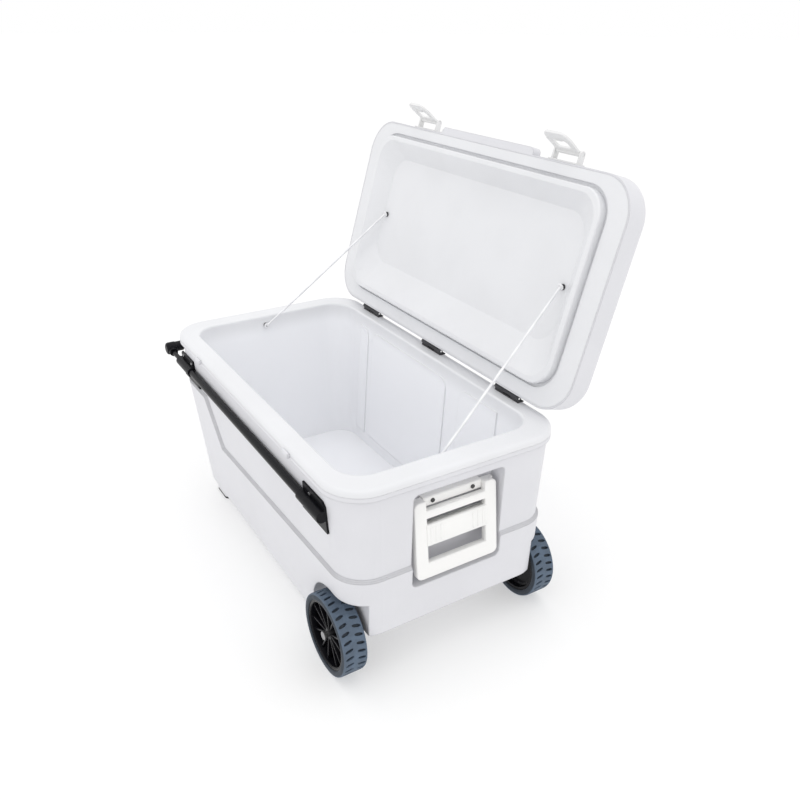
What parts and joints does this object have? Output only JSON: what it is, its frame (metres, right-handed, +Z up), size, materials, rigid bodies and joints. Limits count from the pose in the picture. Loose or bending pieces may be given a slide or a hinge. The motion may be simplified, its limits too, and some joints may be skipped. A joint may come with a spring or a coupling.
{
  "type": "cooler on wheels",
  "caption": "Large hinged-lid rolling cooler with telescoping side-rail pull handle, swing lift handle, rubber latches and treaded wheels, shown open.",
  "frame": {"origin": "on the ground under the middle of the body's rim", "axes": "+X along the length towards the wheel end, -Y towards the latch side, +Y towards the lid hinges, +Z up"},
  "size_m": [0.9435, 0.6544, 0.9365],
  "materials": {
    "body_white": "fine satin moulded skin",
    "liner_white": "smooth satin",
    "insulation": "closed-cell foam",
    "fitting_white": "satin",
    "handle_ivory": "satin",
    "bracket_black": "satin",
    "tube_black": "satin black coat",
    "grip_rubber": "ribbed",
    "foot_rubber": "matte",
    "tyre_slate": "matte moulded",
    "hub_black": "satin",
    "axle_steel": "drawn",
    "bright_steel": "bright",
    "screw_dark": "dark",
    "hinge_grey": "satin",
    "cord_white": "braided"
  },
  "bodies": {
    "tub": {"tub_shell": "body_white", "tub_foam": "insulation", "tub_liner": "liner_white", "foot_pad_front": "foot_rubber", "foot_pad_back": "foot_rubber", "latch_keeper_far": "body_white", "latch_keeper_wheel": "body_white", "drain_spout": "fitting_white", "drain_gasket": "foot_rubber", "axle": "axle_steel", "axle_saddle_front": "bracket_black", "axle_saddle_back": "bracket_black", "axle_cap_front": "bright_steel", "axle_cap_back": "bright_steel", "handle_tube_front": "tube_black", "handle_tube_back": "tube_black", "rod_bush_front": "bracket_black", "rod_bush_back": "bracket_black", "bracket_far_front": "bracket_black", "bracket_far_back": "bracket_black", "bracket_wheel_front": "bracket_black", "bracket_wheel_back": "bracket_black", "bracket_rivets": "bright_steel", "lift_block": "handle_ivory", "lift_screws": "screw_dark", "lift_pin": "bright_steel", "hinge_leaf_tub_far": "hinge_grey", "hinge_leaf_tub_middle": "hinge_grey", "hinge_leaf_tub_wheel": "hinge_grey", "hinge_pin_far": "bright_steel", "hinge_pin_middle": "bright_steel", "hinge_pin_wheel": "bright_steel", "hinge_screws_tub": "bright_steel", "stay_screws_tub": "screw_dark", "stay_far": "cord_white", "stay_wheel": "cord_white"},
    "lid": {"lid_shell": "body_white", "lid_foam": "insulation", "lid_liner": "liner_white", "hinge_leaf_lid_far": "hinge_grey", "hinge_leaf_lid_middle": "hinge_grey", "hinge_leaf_lid_wheel": "hinge_grey", "hinge_screws_lid": "bright_steel", "latch_mount_far": "fitting_white", "latch_mount_wheel": "fitting_white", "stay_screws_lid": "screw_dark"},
    "latch_far": {"latch_arm_far": "fitting_white"},
    "latch_wheel": {"latch_arm_wheel": "fitting_white"},
    "pull_handle": {"pull_rod_front": "tube_black", "pull_rod_back": "tube_black", "pull_corner_front": "bracket_black", "pull_corner_back": "bracket_black", "crossbar": "tube_black", "grip_sleeve": "grip_rubber"},
    "lift_handle": {"lift_bail": "handle_ivory"},
    "wheel_front": {"tyre_front": "tyre_slate", "hub_front": "hub_black"},
    "wheel_back": {"tyre_back": "tyre_slate", "hub_back": "hub_black"},
    "drain_cap": {"drain_cap": "fitting_white"}
  },
  "joints": [
    {"name": "lid_hinge", "type": "hinge", "parent": "tub", "child": "lid", "pos_m": [0, 0.23, 0.4365], "axis": [1, 0, 0], "range_deg": [0, 106], "deforming": ["stay_far", "stay_wheel"]},
    {"name": "latch_far_hinge", "type": "hinge", "parent": "lid", "child": "latch_far", "pos_m": [-0.24, 0.37144, 0.89529], "axis": [1, 0, 0], "range_deg": [-75, 25]},
    {"name": "latch_wheel_hinge", "type": "hinge", "parent": "lid", "child": "latch_wheel", "pos_m": [0.24, 0.37144, 0.89529], "axis": [1, 0, 0], "range_deg": [-75, 25]},
    {"name": "pull_handle_slide", "type": "slide", "parent": "tub", "child": "pull_handle", "axis": [-1, 0, 0], "range_m": [0, 0.36]},
    {"name": "lift_handle_hinge", "type": "hinge", "parent": "tub", "child": "lift_handle", "pos_m": [0.413, 0, 0.348], "axis": [0, -1, 0], "range_deg": [0, 80]},
    {"name": "wheel_front_spin", "type": "hinge", "parent": "tub", "child": "wheel_front", "pos_m": [0.369, -0.223, 0.082], "axis": [0, 1, 0], "continuous": true},
    {"name": "wheel_back_spin", "type": "hinge", "parent": "tub", "child": "wheel_back", "pos_m": [0.369, 0.223, 0.082], "axis": [0, 1, 0], "continuous": true},
    {"name": "drain_cap_turn", "type": "hinge", "parent": "tub", "child": "drain_cap", "pos_m": [-0.39, 0, 0.096], "axis": [1, 0, 0], "range_deg": [-90, 0]}
  ]
}
